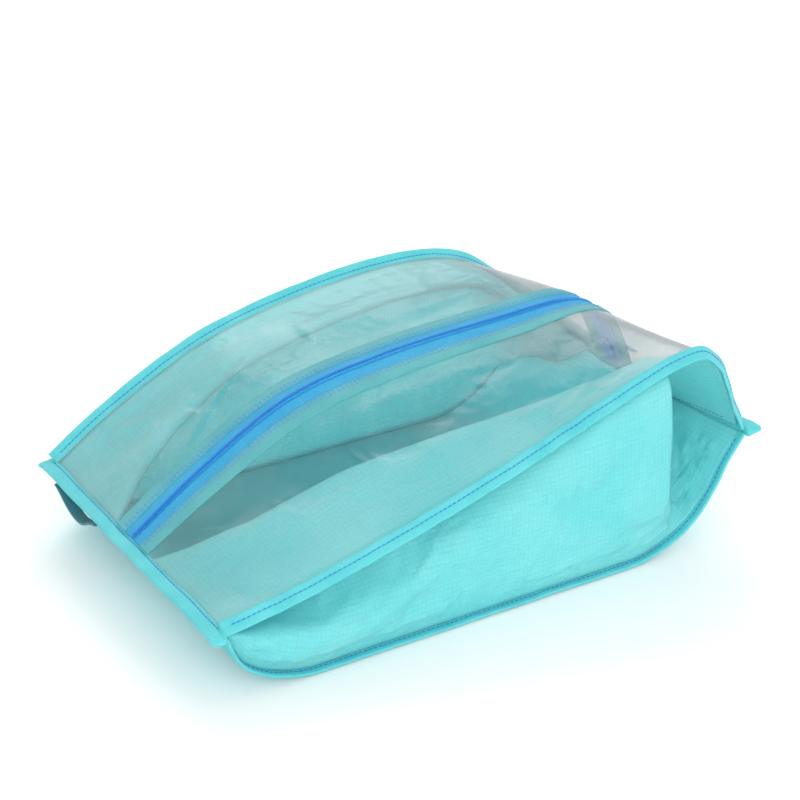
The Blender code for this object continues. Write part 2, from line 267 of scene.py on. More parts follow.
def sweep(name, rings, uv_along, carried=None):
    """A closed tube through rings of points, n x k x 3, with flat ends."""
    n, k = rings.shape[:2]
    index = np.arange(n * k).reshape(n, k)
    ahead = np.roll(index, -1, axis=1)
    quads = np.stack([index[:-1], ahead[:-1], ahead[1:], index[1:]], -1).reshape(-1, 4)
    faces = quads.tolist() + [index[0, ::-1].tolist(), index[-1].tolist()]
    round_ = np.concatenate([np.zeros((n, 1)), np.cumsum(
        np.linalg.norm(np.diff(rings, axis=1), axis=-1), axis=1)], axis=1)
    uv = np.stack([np.broadcast_to(uv_along[:, None], (n, k)), round_], -1).reshape(-1, 2)
    if carried is not None:
        carried = np.broadcast_to(carried[:, None], (n, k)).ravel()
    obj = mesh_object(name, rings.reshape(-1, 3), faces, uv, carried)
    volume = np.einsum("ij,ij->i", rings[:-1].mean(1), np.cross(
        rings[:-1, 1] - rings[:-1, 0], rings[:-1, 2] - rings[:-1, 0])).sum()
    return obj, volume


def right_way_out(obj):
    """Turns a closed mesh so that its faces look outwards."""
    import bmesh
    bm = bmesh.new()
    bm.from_mesh(obj.data)
    bmesh.ops.recalc_face_normals(bm, faces=bm.faces)
    bm.to_mesh(obj.data)
    bm.free()
    obj.data.shade_smooth()
    return obj


def ribbon(name, origin, reach, up, section, along, carried=None, taper=0.0):
    """A band swept along a line: section is (reach, thickness) points around it."""
    n = len(origin)
    r, m = np.array(section)[:, 0], np.array(section)[:, 1]
    scale = np.ones(n)
    if taper:
        far = np.minimum(along - along[0], along[-1] - along)
        scale = np.sqrt(np.clip(1 - (1 - np.clip(far / taper, 0, 1)) ** 2, 0.02, 1))
    middle = (r.min() + r.max()) / 2
    rr = middle + (r[None] - middle) * mix(0.35, 1.0, scale)[:, None]
    mm = m[None] * scale[:, None]
    rings = (origin[:, None] + reach[:, None] * rr[..., None] + up[:, None] * mm[..., None])
    obj, _ = sweep(name, rings, along, carried)
    return right_way_out(obj)


def band_section(inner, outer, thick_in, thick_out, groove=None, count=9):
    """Around a folded tape: rounded outer edge, open lip inside, a sewn groove."""
    points = []
    for k in range(count):
        r = mix(inner, outer - thick_out / 2, k / (count - 1))
        half = mix(thick_in, thick_out, k / (count - 1)) / 2
        if groove is not None:
            half *= 1 - 0.30 * math.exp(-((r - groove) / 0.0006) ** 2)
        points.append((r, half))
    turn = [(outer - thick_out / 2 + thick_out / 2 * math.sin(a), thick_out / 2 * math.cos(a))
            for a in (0.5, 1.0, math.pi / 2)]
    upper = points + turn
    lower = [(r, -h) for r, h in reversed(points + turn[:-1])]
    lip = [(inner - 0.0002, -0.45 * thick_in), (inner - 0.0002, 0.45 * thick_in)]
    return upper + lower + lip


def stitches(name, path, normal, length=0.0026, gap=0.0006, radius=0.00027, rise=0.00020,
             weights=None, slant=0.0):
    """A row of sewn stitches that lie on a path and dive into the cloth at both ends."""
    runs = np.concatenate([[0.0], np.cumsum(np.linalg.norm(np.diff(path, axis=0), axis=1))])
    count = int(runs[-1] / (length + gap))
    t = np.linspace(0, 1, 6)
    points, faces, carried, uvs = [], [], [], []
    for i in range(count):
        s = i * (length + gap) + gap / 2 + t * length
        c = np.stack([np.interp(s, runs, path[:, k]) for k in range(3)], -1)
        nrm = unit(np.stack([np.interp(s, runs, normal[:, k]) for k in range(3)], -1))
        way = unit(np.gradient(c, axis=0))
        side = unit(np.cross(way, nrm))
        c = c + nrm * (rise * np.sin(math.pi * t) ** 0.5 - 0.25 * radius)[:, None]
        c = c + side * (slant * (t - 0.5))[:, None]
        size = radius * (0.55 + 0.45 * np.sin(math.pi * t) ** 0.4)
        start = len(points)
        for a, b, d, q in zip(c, side, nrm, size):
            for j in range(6):
                w = 2 * math.pi * j / 6
                points.append(a + q * (b * math.cos(w) + d * math.sin(w)))
                uvs.append((s[0], j * radius))
        for a in range(5):
            for j in range(6):
                k = (j + 1) % 6
                faces.append([start + a * 6 + j, start + a * 6 + k,
                              start + a * 6 + 6 + k, start + a * 6 + 6 + j])
        faces.append([start + j for j in range(5, -1, -1)])
        faces.append([start + 30 + j for j in range(6)])
        if weights is not None:
            w = np.interp(s, runs, weights)
            carried.extend(np.repeat(w, 6))
    return mesh_object(name, points, faces, uvs, carried if weights is not None else None)


# ---- cloth simulation
def settle(points, free, out, grow, pressure, frames, cap, stiff=1.0, gravity=0.0):
    """Lets a sheet settle as cloth between its sewn edges; free is 0 where it is held."""
    n, m = points.shape[:2]
    obj = mesh_object("settling", points.reshape(-1, 3), cells(n, m, out < 0).tolist())
    group = obj.vertex_groups.new(name="held")
    held = np.round((1 - free).ravel() * 20).astype(int)
    for level in range(21):
        index = np.nonzero(held == level)[0]
        if len(index):
            group.add(index.tolist(), level / 20, "REPLACE")
    cloth = obj.modifiers.new("Cloth", "CLOTH")
    cloth.point_cache.frame_start, cloth.point_cache.frame_end = 1, frames
    s = cloth.settings
    s.quality = 4
    s.mass = 0.02
    s.air_damping = 4
    s.tension_stiffness = s.compression_stiffness = 12 * stiff
    s.shear_stiffness = 4 * stiff
    s.bending_stiffness = 0.04 * stiff
    s.vertex_group_mass = "held"
    s.pin_stiffness = 1.0
    s.shrink_min = -grow
    s.use_pressure = True
    s.uniform_pressure_force = pressure
    s.effector_weights.gravity = gravity
    cloth.collision_settings.use_collision = False
    scene = bpy.context.scene
    for f in range(1, frames + 1):
        scene.frame_set(f)
    done = obj.evaluated_get(bpy.context.evaluated_depsgraph_get()).data
    new = np.empty(n * m * 3, np.float32)
    done.vertices.foreach_get("co", new)
    new = new.reshape(n, m, 3)
    scene.frame_set(1)
    bpy.data.objects.remove(obj, do_unlink=True)
    move = np.nan_to_num(new - points)
    size = np.linalg.norm(move, axis=-1, keepdims=True)
    limit = cap * free[..., None]
    held_back = limit * np.tanh(size / np.maximum(limit, 1e-9)) / np.maximum(size, 1e-9)
    return points + move * np.where(size > 1e-9, held_back, 0)


# ---- materials
class Shader:
    """A small helper that adds nodes to one material and links them."""

    def __init__(self, name):
        self.mat = bpy.data.materials.new(name)
        self.mat.use_nodes = True
        self.tree = self.mat.node_tree
        self.bsdf = self.tree.nodes["Principled BSDF"]
        self.out = self.tree.nodes["Material Output"]

    def node(self, kind, inputs=None, **settings):
        made = self.tree.nodes.new(kind)
        for key, value in settings.items():
            setattr(made, key, value)
        for key, value in (inputs or {}).items():
            self.put(made.inputs[key], value)
        return made

    def put(self, socket, value):
        if isinstance(value, bpy.types.NodeSocket):
            self.tree.links.new(value, socket)
        else:
            socket.default_value = value

    def math(self, kind, a, b=0.0, c=0.0, clamp=False):
        made = self.node("ShaderNodeMath", {0: a, 1: b, 2: c}, operation=kind)
        made.use_clamp = clamp
        return made.outputs[0]

    def ramp(self, value, low, high, out_low=0.0, out_high=1.0):
        made = self.node("ShaderNodeMapRange", {0: value, 1: low, 2: high, 3: out_low,
                                                4: out_high}, interpolation_type="SMOOTHSTEP")
        return made.outputs[0]

    def colour(self, factor, a, b, kind="MIX"):
        made = self.node("ShaderNodeMix", data_type="RGBA", blend_type=kind)
        self.put(made.inputs[0], factor)
        self.put(made.inputs[6], a)
        self.put(made.inputs[7], b)
        return made.outputs[2]

    def noise(self, vector, scale, detail=2.0, rough=0.5, distortion=0.0):
        made = self.node("ShaderNodeTexNoise", {"Vector": vector, "Scale": scale,
                                                "Detail": detail, "Roughness": rough,
                                                "Distortion": distortion})
        return made.outputs[0]

    def speck(self, vector, scale, low=0.3, high=0.7):
        return self.ramp(self.noise(vector, scale, 3.0, 0.6), low, high)

    def uv(self):
        """The cloth's own length and width, in metres."""
        made = self.node("ShaderNodeUVMap", uv_map="cloth")
        parts = self.node("ShaderNodeSeparateXYZ", {0: made.outputs[0]})
        return made.outputs[0], parts.outputs[0], parts.outputs[1]

    def space(self):
        return self.node("ShaderNodeTexCoord").outputs["Object"]

    def line(self, value, pitch, width):
        """1 on thin lines that repeat at a pitch, 0 between them."""
        wave = self.math("PINGPONG", value, pitch / 2)
        return self.ramp(wave, width * 0.35, width * 0.75, 1.0, 0.0)

    def thread(self, value, pitch):
        """A rounded thread profile that repeats at a pitch."""
        turn = self.math("MULTIPLY", value, 2 * math.pi / pitch)
        return self.math("MULTIPLY_ADD", self.math("COSINE", turn), 0.5, 0.5)

    def weave(self, u, v, pitch):
        """Plain weave: warp and weft threads pass over each other in turn."""
        a = self.math("SINE", self.math("MULTIPLY", u, math.pi / pitch))
        b = self.math("SINE", self.math("MULTIPLY", v, math.pi / pitch))
        return self.math("MULTIPLY_ADD", self.math("MULTIPLY", a, b), 0.5, 0.5)

    def bump(self, height, distance, strength=1.0, normal=None):
        made = self.node("ShaderNodeBump", {"Height": height, "Distance": distance,
                                            "Strength": strength})
        if normal is not None:
            self.put(made.inputs["Normal"], normal)
        return made.outputs[0]

    def set(self, **values):
        for key, value in values.items():
            self.put(self.bsdf.inputs[key.replace("_", " ")], value)


def through(s, share, colour, normal):
    """Lets a share of the light that falls on one side of thin cloth out on the other."""
    glow = s.node("ShaderNodeBsdfTranslucent", {"Color": colour, "Normal": normal})
    both = s.node("ShaderNodeMixShader", {0: share, 1: s.bsdf.outputs[0], 2: glow.outputs[0]})
    s.tree.links.new(both.outputs[0], s.out.inputs[0])


def nylon(name, deep, pale, translucent=0.28):
    """Thin ripstop nylon: a grid of thicker threads on a fine plain weave."""
    s = Shader(name)
    _, u, v = s.uv()
    space = s.space()
    grid = s.math("MAXIMUM", s.line(u, 0.0029, 0.0006), s.line(v, 0.0029, 0.0006))
    broad = s.ramp(s.noise(space, 22.0, 3.0), 0.32, 0.68)
    fine = s.speck(space, 420.0)
    slub = s.ramp(s.noise(s.node("ShaderNodeMapping", {"Vector": s.node(
        "ShaderNodeUVMap", uv_map="cloth").outputs[0], "Scale": (60.0, 1400.0, 1.0)}).outputs[0],
        1.0, 3.0), 0.35, 0.7)
    colour = s.colour(broad, deep, pale)
    colour = s.colour(s.math("MULTIPLY", fine, 0.16), colour, (0.40, 0.88, 0.88, 1))
    colour = s.colour(s.math("MULTIPLY", slub, 0.08), colour, (0.08, 0.60, 0.66, 1))
    colour = s.colour(s.math("MULTIPLY", grid, 0.10), colour, (0.10, 0.60, 0.62, 1))
    height = s.math("MULTIPLY_ADD", grid, 0.8, s.math("MULTIPLY", s.weave(u, v, 0.00042), 0.35))
    height = s.math("MULTIPLY_ADD", slub, 0.35, height)
    normal = s.bump(height, 0.00012)
    crease = s.noise(space, 60.0, 4.0, 0.55, 0.6)
    normal = s.bump(crease, 0.0009, 0.35, normal)
    s.set(Base_Color=colour, Roughness=s.ramp(fine, 0.0, 1.0, 0.50, 0.64), Normal=normal,
          Specular_IOR_Level=0.45, Sheen_Weight=0.25, Sheen_Roughness=0.4)
    through(s, translucent, colour, normal)
    return s.mat


def tape_cloth(name, deep, pale, rib, rough=0.55, translucent=0.25):
    """Woven binding tape, with fine cross ribs."""
    s = Shader(name)
    _, u, v = s.uv()
    space = s.space()
    broad = s.ramp(s.noise(space, 45.0, 3.0), 0.3, 0.7)
    fine = s.speck(space, 600.0)
    ribs = s.thread(u, rib)
    colour = s.colour(broad, deep, pale)
    colour = s.colour(s.math("MULTIPLY", fine, 0.20), colour, (0.30, 0.78, 0.80, 1))
    # painted shade: between the ribs the tape is coloured darker, for the shade that falls in the troughs
    colour = s.colour(s.math("MULTIPLY", s.math("SUBTRACT", 1.0, ribs), 0.22), colour,
                      (0.03, 0.42, 0.50, 1))
    height = s.math("MULTIPLY_ADD", ribs, 0.7, s.math("MULTIPLY", fine, 0.5))
    normal = s.bump(height, 0.00012)
    pucker = s.noise(space, 150.0, 2.0, 0.5)
    normal = s.bump(pucker, 0.0005, 0.45, normal)
    s.set(Base_Color=colour, Roughness=s.ramp(fine, 0, 1, rough - 0.06, rough + 0.08),
          Normal=normal, Specular_IOR_Level=0.35, Sheen_Weight=0.15, Sheen_Roughness=0.4)
    through(s, translucent, colour, normal)
    return s.mat


def film_material():
    """Clear soft film: a grey haze, faint cloudy patches and fine streaks."""
    s = Shader("clear_film")
    space = s.space()
    cloud = s.ramp(s.noise(space, 16.0, 4.0, 0.6, 0.4), 0.42, 0.72)
    streak = s.ramp(s.noise(s.node("ShaderNodeMapping", {"Vector": space, "Scale": (
        30.0, 240.0, 120.0)}).outputs[0], 1.0, 4.0, 0.6), 0.45, 0.75)
    haze = s.math("MULTIPLY_ADD", cloud, 0.022, 0.042)
    haze = s.math("MULTIPLY_ADD", streak, 0.016, haze)
    edge = s.node("ShaderNodeLayerWeight", {"Blend": 0.5}).outputs["Facing"]
    haze = s.math("MULTIPLY_ADD", s.math("POWER", edge, 2.0), 0.42, haze)
    # painted shade: towards the heel end the film is made hazier, a grey that stands in for the darker look
    # of the film seen at a grazing angle there, not a change in the film itself
    heel = s.ramp(s.node("ShaderNodeSeparateXYZ", {0: space}).outputs[0], 0.100, 0.150)
    haze = s.math("MULTIPLY_ADD", heel, 0.26, haze)
    colour = s.colour(cloud, (0.36, 0.39, 0.40, 1), (0.52, 0.56, 0.57, 1))
    bump = s.bump(s.noise(space, 70.0, 4.0, 0.6, 0.5), 0.0011, 0.30)
    bump = s.bump(streak, 0.00025, 0.4, bump)
    s.set(Base_Color=colour, Alpha=haze, Roughness=0.22, Normal=bump, Specular_IOR_Level=0.9)
    return s.mat


def zip_cloth():
    """Woven zip tape: herringbone ribs."""
    s = Shader("zip_tape_weave")
    _, u, v = s.uv()
    space = s.space()
    slant = s.math("PINGPONG", v, 0.0011)
    ribs = s.thread(s.math("MULTIPLY_ADD", slant, 0.9, u), 0.00062)
    fine = s.speck(space, 800.0)
    broad = s.ramp(s.noise(space, 40.0, 3.0), 0.3, 0.7)
    colour = s.colour(broad, (0.035, 0.54, 0.90, 1), (0.06, 0.61, 0.93, 1))
    # painted shade: between the herringbone ribs the tape is coloured darker, for the shade that falls in
    # the troughs
    colour = s.colour(s.math("MULTIPLY", s.math("SUBTRACT", 1.0, ribs), 0.40), colour,
                      (0.012, 0.38, 0.80, 1))
    colour = s.colour(s.math("MULTIPLY", fine, 0.18), colour, (0.30, 0.84, 0.96, 1))
    normal = s.bump(s.math("MULTIPLY_ADD", fine, 0.3, ribs), 0.00016)
    s.set(Base_Color=colour, Roughness=0.55, Normal=normal, Specular_IOR_Level=0.35,
          Sheen_Weight=0.1, Sheen_Roughness=0.4)
    through(s, 0.35, colour, normal)
    return s.mat


def coil_nylon():
    s = Shader("coil_nylon")
    space = s.space()
    broad = s.noise(space, 90.0, 2.0)
    scuff = s.ramp(s.noise(space, 1500.0, 2.0, 0.6), 0.4, 0.7)
    _, _, off_middle = s.uv()
    # painted shade: along the middle of the chain, where the heads of the two halves meet, the coil is
    # coloured deep blue for the shadow in the gap between them
    head = s.ramp(off_middle, 0.0003, 0.0009)
    colour = s.colour(broad, (0.006, 0.30, 0.84, 1), (0.015, 0.40, 0.90, 1))
    colour = s.colour(head, (0.002, 0.16, 0.66, 1), colour)
    s.set(Base_Color=colour, Roughness=s.ramp(scuff, 0, 1, 0.26, 0.42),
          Normal=s.bump(scuff, 0.00003), Specular_IOR_Level=0.5)
    return s.mat


def thread_cotton(name, dark, light):
    s = Shader(name)
    space = s.space()
    ply = s.ramp(s.noise(space, 1500.0, 2.0, 0.6), 0.3, 0.7)
    s.set(Base_Color=s.colour(ply, dark, light), Roughness=s.ramp(ply, 0, 1, 0.5, 0.68),
          Normal=s.bump(ply, 0.00005), Specular_IOR_Level=0.35)
    return s.mat


def webbing_cloth():
    """Ribbed dark webbing: cords along its length under a cross weave."""
    s = Shader("webbing_rib")
    _, u, v = s.uv()
    space = s.space()
    cords = s.thread(v, 0.00125)
    cross = s.thread(u, 0.0007)
    fine = s.speck(space, 700.0)
    height = s.math("MULTIPLY_ADD", cords, 0.8, s.math("MULTIPLY", cross, 0.35))
    # painted shade: the grooves between the cords are coloured darker than the cord tops, for the shade that
    # falls between them
    colour = s.colour(cords, (0.008, 0.085, 0.12, 1), (0.028, 0.23, 0.28, 1))
    colour = s.colour(s.math("MULTIPLY", fine, 0.25), colour, (0.07, 0.36, 0.42, 1))
    s.set(Base_Color=colour, Roughness=s.ramp(fine, 0, 1, 0.62, 0.78),
          Normal=s.bump(height, 0.0003), Specular_IOR_Level=0.35, Sheen_Weight=0.2)
    return s.mat


def slider_paint():
    """Painted zinc: a blue coat, rubbed paler in places."""
    s = Shader("slider_paint")
    space = s.space()
    cast = s.noise(space, 900.0, 3.0, 0.6)
    worn = s.ramp(s.noise(space, 260.0, 3.0, 0.6), 0.62, 0.80)
    edge = s.ramp(s.node("ShaderNodeNewGeometry").outputs["Pointiness"], 0.53, 0.60)
    rub = s.math("MULTIPLY", s.math("MAXIMUM", worn, edge), 0.35)
    colour = s.colour(rub, (0.03, 0.30, 0.72, 1), (0.32, 0.58, 0.80, 1))
    s.set(Base_Color=colour, Roughness=s.ramp(cast, 0.3, 0.7, 0.24, 0.38),
          Normal=s.bump(cast, 0.00004, 0.4), Coat_Weight=0.4, Coat_Roughness=0.15)
    return s.mat


NYLON = nylon("ripstop_nylon", (0.25, 0.85, 0.87, 1), (0.33, 0.88, 0.89, 1), 0.50)
BASE_NYLON = nylon("base_nylon", (0.16, 0.85, 0.88, 1), (0.21, 0.88, 0.90, 1), 0.50)
BINDING = tape_cloth("binding_tape", (0.10, 0.66, 0.69, 1), (0.15, 0.73, 0.76, 1), 0.00085)
TRIM = tape_cloth("trim_tape", (0.14, 0.55, 0.58, 1), (0.19, 0.61, 0.63, 1), 0.00075, 0.55, 0.4)
FILM = film_material()
TAPE = zip_cloth()
COIL = coil_nylon()
BLUE_THREAD = thread_cotton("blue_thread", (0.004, 0.10, 0.50, 1), (0.02, 0.24, 0.74, 1))
PALE_THREAD = thread_cotton("lavender_thread", (0.05, 0.24, 0.66, 1), (0.18, 0.40, 0.80, 1))
WEBBING = webbing_cloth()
PAINT = slider_paint()


def dress(obj, mat):
    obj.data.materials.clear()
    obj.data.materials.append(mat)
    return obj


def ride(obj, mat, body="bag", replaces=()):
    dress(obj, mat)
    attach(obj, body)
    if replaces:
        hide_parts(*replaces)
    return obj


def open_with(obj, mat, side, replaces=()):
    """A soft piece of the top that opens with its side of the zip, and stays at the seams."""
    dress(obj, mat)
    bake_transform(obj, "bag", "front_zip_side" if side < 0 else "back_zip_side",
             start=(0, side * HALF_SEAM, 0.05), end=(0, 0, 0.12))
    mesh = obj.data
    values = np.empty(len(mesh.vertices), np.float32)
    mesh.attributes["carried"].data.foreach_get("value", values)
    mesh.attributes["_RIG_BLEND"].data.foreach_set("value", values)
    mesh.attributes.remove(mesh.attributes["carried"])
    if replaces:
        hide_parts(*replaces)
    return obj


def word(side):
    return "front" if side < 0 else "back"


# ---- panels
def lid_share(inward):
    return 1.0 - max(inward, 0.0) / HALF_SEAM


def lid_height(share, inward, side):
    return float(top_point(share, lid_share(inward), side)[2])


WALL_DROP = (0.0, 0.0, 0.0, 0.05, 0.10, 0.35, 0.60, 0.85, 1.0)
HEEL_DROP = (0.0, 0.12, 0.26, 0.42, 0.50, 0.58, 0.74, 0.88, 1.0)


def gusset_section(share, side):
    """Points across a gusset from the top seam to the base seam: inwards, height, X."""
    seam_x, top = seam_line(side).beside(share, -PLY_GAP)
    full = float(step(top - BASE.point(share)[1], PLY_GAP, 0.04))
    base_x, base = BASE.beside(share, mix(PLY_GAP, BASE_LIFT, full))
    gap = top - base
    tuck = (GUSSET_REACH - gap) / 2
    under = lid_height(share, tuck, side) - min(0.006, 0.06 * gap + PLY_GAP)
    turn = min(0.0045, 0.10 * gap + 0.0008)
    snug = float(step(seam_x, 0.19, 0.27))
    shade = mix(min(0.016, 0.30 * gap), 0.007, snug)
    bulge = WALL_BULGE * float(step(gap, 0.0, 0.06))
    wall = [(0.0012, top), (0.5 * tuck, lid_height(share, 0.5 * tuck, side) - 0.003),
            (tuck - turn, under), (tuck, under - turn), (tuck - turn, under - 2 * turn),
            (mix(0.001, 0.45 * tuck, mix(0.4, 0.05, snug)), top - shade),
            (-bulge, mix(top, base, 0.42)), (-bulge, mix(top, base, 0.72)), (-0.0002, base)]
    reach = math.sqrt(max((GUSSET / 2) ** 2 - (gap / 2) ** 2, 0.0))
    middle = mix(top, base, 0.5)
    fold = min(0.004, 0.10 * gap + 0.0008)
    heel = [(0.0012, top), (0.30 * reach, mix(top, middle, 0.22)),
            (0.62 * reach, mix(top, middle, 0.58)), (reach - fold, middle + fold),
            (reach, middle), (reach - fold, middle - fold), (0.62 * reach, mix(base, middle, 0.58)),
            (0.30 * reach, mix(base, middle, 0.22)), (-0.0002, base)]
    turned = float(step(seam_x, *WALL_END))
    inset = 1.4 * (seam_x - seam_line(side).point(share)[0])
    section = []
    for (in_a, z_a), (in_b, z_b), drop_a, drop_b in zip(wall, heel, WALL_DROP, HEEL_DROP):
        inward = mix(in_a, in_b, turned)
        height = min(mix(z_a, z_b, turned), lid_height(share, inward, side) - PLY_GAP)
        lid_x = float(top_point(share, lid_share(inward), side)[0])
        drop = mix(drop_a, drop_b, turned)
        section.append((inward, height, mix(lid_x + inset, base_x, drop)))
    return section


def tuck_fold(share, side):
    """How far from the middle the gusset's fold lies under the film."""
    return HALF_SEAM - max(p[0] for p in gusset_section(share, side))


FOLD_AT = np.linspace(0, 1, 41)
FOLD = {side: np.array([tuck_fold(s, side) for s in FOLD_AT]) for side in (-1, 1)}


def carried_by(share, y, side):
    """How far a point of the top goes with its side of the zip as the bag opens."""
    ends = step(share * ZIP.length, 0.002, 0.055) * step((1 - share) * ZIP.length, 0.002, 0.055)
    fold = np.maximum(np.interp(share, FOLD_AT, FOLD[side]), FILM_EDGE + 0.012)
    return ends * (1 - step(np.abs(y), 0.6 * FILM_EDGE, fold))


def gusset(side):
    nu, nv = 231, 97
    share = np.linspace(0.0, 1.0, nu)
    v = np.linspace(0, 1, nv)
    points = np.empty((nu, nv, 3))
    for i, s in enumerate(share):
        inward, z, x = Track(gusset_section(s, side), steps=8).point(v).T
        points[i] = place(x, side * (HALF_SEAM - inward), z)
    s_, v_ = share[:, None] * np.ones((1, nv)), v[None] * np.ones((nu, 1))
    ends = step(s_, 0.0, 0.05) * step(1 - s_, 0.0, 0.05)
    wall = step(v_, 0.50, 0.66) * step(1 - v_, 0.0, 0.07)
    recess = 0.5 * step(s_, 0.80, 0.90) * step(v_, 0.03, 0.12) * step(1 - v_, 0.03, 0.12)
    free = np.clip(np.maximum(wall, recess) * ends, 0, 1)
    points = settle(points, free, side, 0.022, 0.6, 22, 0.0042, 1.0, 0.25)
    normal = grid_normals(points) * side
    u = s_ * 0.396
    w = v_ * GUSSET
    soft = ripple(u, w, 5 + side, 0.045, stretch=1.6) * 0.0007 * free
    soft += ripple(u, w, 11 + side, 0.016, stretch=0.7) * 0.00022 * free
    seam = np.exp(-((1 - v_) * GUSSET / 0.007)) * step(1 - v_, 0.0, 0.02)
    soft += ripple(u, 0 * w, 31 + side, 0.011) * 0.00035 * seam * ends
    tuck = step(v_, 0.02, 0.10) * (1 - step(v_, 0.45, 0.55)) * ends
    soft -= np.abs(ripple(u, w, 17 + side, 0.05)) * 0.0004 * tuck
    points = points + normal * soft[..., None]
    hem = np.exp(-(w / 0.0022) ** 2)[..., None] * ends[..., None]
    points = points + hem * np.array([0, side * 0.0022, 0.0008])
    obj = solid_sheet(f"{word(side)}_gusset_cloth", points, 0.00035, np.stack([u, w], -1), side)
    ride(obj, NYLON, replaces=[f"{word(side)}_gusset"])
    seam = slice(5, nv // 2)
    row = stitches(f"{word(side)}_heel_seam_stitch", points[nu - 3, seam], normal[nu - 3, seam])
    ride(row, BLUE_THREAD)
    return points


def base_panel():
    nu, nv = 221, 121
    share = np.linspace(0, 1, nu)[:, None] * np.ones((1, nv))
    y = np.linspace(-HALF_SEAM, HALF_SEAM, nv)[None] * np.ones((nu, 1)) * 1.004
    spot = BASE.point(share)
    points = place(spot[..., 0], y, spot[..., 1])
    inside = step(share, 0, 0.05) * step(1 - share, 0, 0.05) * step(HALF_SEAM - np.abs(y), 0, 0.012)
    lift = (0.5 + 0.5 * ripple(share * 0.4, y, 3, 0.055)) * 0.0011
    lift += (0.5 + 0.5 * ripple(share * 0.4, y, 4, 0.017)) * 0.0003
    normal = grid_normals(points)
    points = points + normal * (np.maximum(lift, 0) * inside)[..., None]
    obj = solid_sheet("base_cloth", points, 0.0005, np.stack([share * BASE.length, y], -1), 1.0)
    ride(obj, BASE_NYLON, replaces=["base_panel"])


def film(side):
    nu, nv = 221, 61
    share = np.linspace(0.0, 1.0, nu)[:, None] * np.ones((1, nv))
    y = np.linspace(FILM_IN, HALF_SEAM + FILM_OVER, nv)[None] * np.ones((nu, 1))
    points, normal = lid(share, y, side)
    ends = step(share, 0.0, 0.07) * step(1 - share, 0.0, 0.05)
    free = ends * step(y, FILM_EDGE, FILM_EDGE + 0.014) * step(HALF_SEAM - y, 0.001, 0.016)
    free = free * (1 - 0.85 * step(share, 0.72, 0.84))
    points = settle(points, free, side, 0.007, 0.15, 16, 0.0013, 2.5)
    normal = grid_normals(points) * side
    u, w = share * TOP_LENGTH, y
    soft = ripple(u, w, 41 + side, 0.05, stretch=2.0) * 0.0004 * free
    soft += ripple(u, w, 47 + side, 0.012, stretch=3.0) * 0.00010 * free
    if side > 0:
        dent = np.exp(-(((u - 0.085) / 0.020) ** 2 + ((w - 0.050) / 0.017) ** 2))
        crease = np.exp(-((w - 0.028 - 0.55 * (u - 0.062)) / 0.0030) ** 2)
        crease = crease * step(u, 0.055, 0.075) * step(0.145 - u, 0.0, 0.05)
        soft += 0.0022 * crease - 0.0010 * dent
    soft = np.maximum(soft, -0.0011)
    points = points + normal * soft[..., None]
    obj = solid_sheet(f"{word(side)}_film_window", points, 0.0003, np.stack([u, w], -1), side,
                      carried_by(share, y, side))
    open_with(obj, FILM, side, [f"{word(side)}_film"])


# ---- seams
def two_rows(name, middle, up, height, sewn, **how):
    """Stitches on both faces of a binding, along the same line."""
    for label, sign in (("upper", 1), ("lower", -1)):
        path = middle + up * sign * height
        row = stitches(f"{name}_{label}", path[sewn], (up * sign)[sewn], **how)
        ride(row, BLUE_THREAD)


def top_binding(side):
    """A tape folded over the long top seam, standing up and out from the corner."""
    n = 420
    share = np.linspace(0.0, 1.0, n)
    along = share * seam_line(side).length
    track = seam_line(side)
    spot = track.point(share)
    up2 = track.upward(share)
    wave = ripple(along, 0 * along, 61 + side, 0.022) * 0.00028
    lean = ripple(along, 0 * along, 63 + side, 0.060) * 0.10
    origin = place(spot[:, 0], side * (HALF_SEAM + 0 * share), spot[:, 1])
    flat = np.stack([up2[:, 0], 0 * share, up2[:, 1]], -1)
    outward = np.array([0, side, 0.0])
    angle = FLANGE_TILT[side] + lean
    reach = flat * np.sin(angle)[:, None] + outward * np.cos(angle)[:, None]
    up = flat * np.cos(angle)[:, None] - outward * np.sin(angle)[:, None]
    origin = origin + up * wave[:, None]
    section = band_section(-0.0028, FLANGE + 0.0004, 0.0036, 0.0021, 0.0008)
    obj = ribbon(f"{word(side)}_top_binding_tape", origin, reach, up, section, along)
    ride(obj, BINDING, replaces=[f"{word(side)}_top_binding"])
    two_rows(f"{word(side)}_top_stitch", origin + reach * 0.0008, up, 0.00118, slice(6, n - 5))


def base_binding(side):
    """A tape folded over the long base seam, lying outwards."""
    n = 420
    share = np.linspace(0.0, 1.0, n)
    along = share * BASE.length
    up2 = BASE.upward(share)
    spot = BASE.point(share) + up2 * 0.00082
    wave = np.abs(ripple(along, 0 * along, 71 + side, 0.026)) * 0.00022
    flat = np.stack([up2[:, 0], 0 * share, up2[:, 1]], -1)
    lean = ripple(along, 0 * along, 73 + side, 0.060) * 0.03 + 0.03
    outward = np.array([0, side, 0.0])
    origin = place(spot[:, 0], side * (HALF_SEAM + 0 * share), spot[:, 1])
    reach = outward * np.cos(lean)[:, None] + flat * np.sin(lean)[:, None]
    up = flat * np.cos(lean)[:, None] - outward * np.sin(lean)[:, None]
    origin = origin + up * wave[:, None]
    section = band_section(0.0004, FLANGE + 0.0004, 0.0022, 0.0019, 0.0019)
    obj = ribbon(f"{word(side)}_base_binding_tape", origin, reach, up, section, along)
    ride(obj, BINDING, replaces=[f"{word(side)}_base_binding"])
    sewn = slice(4, n - 4)
    path = origin + reach * 0.0019 + up * 0.00078
    row = stitches(f"{word(side)}_base_stitch", path[sewn], up[sewn])
    ride(row, BLUE_THREAD)


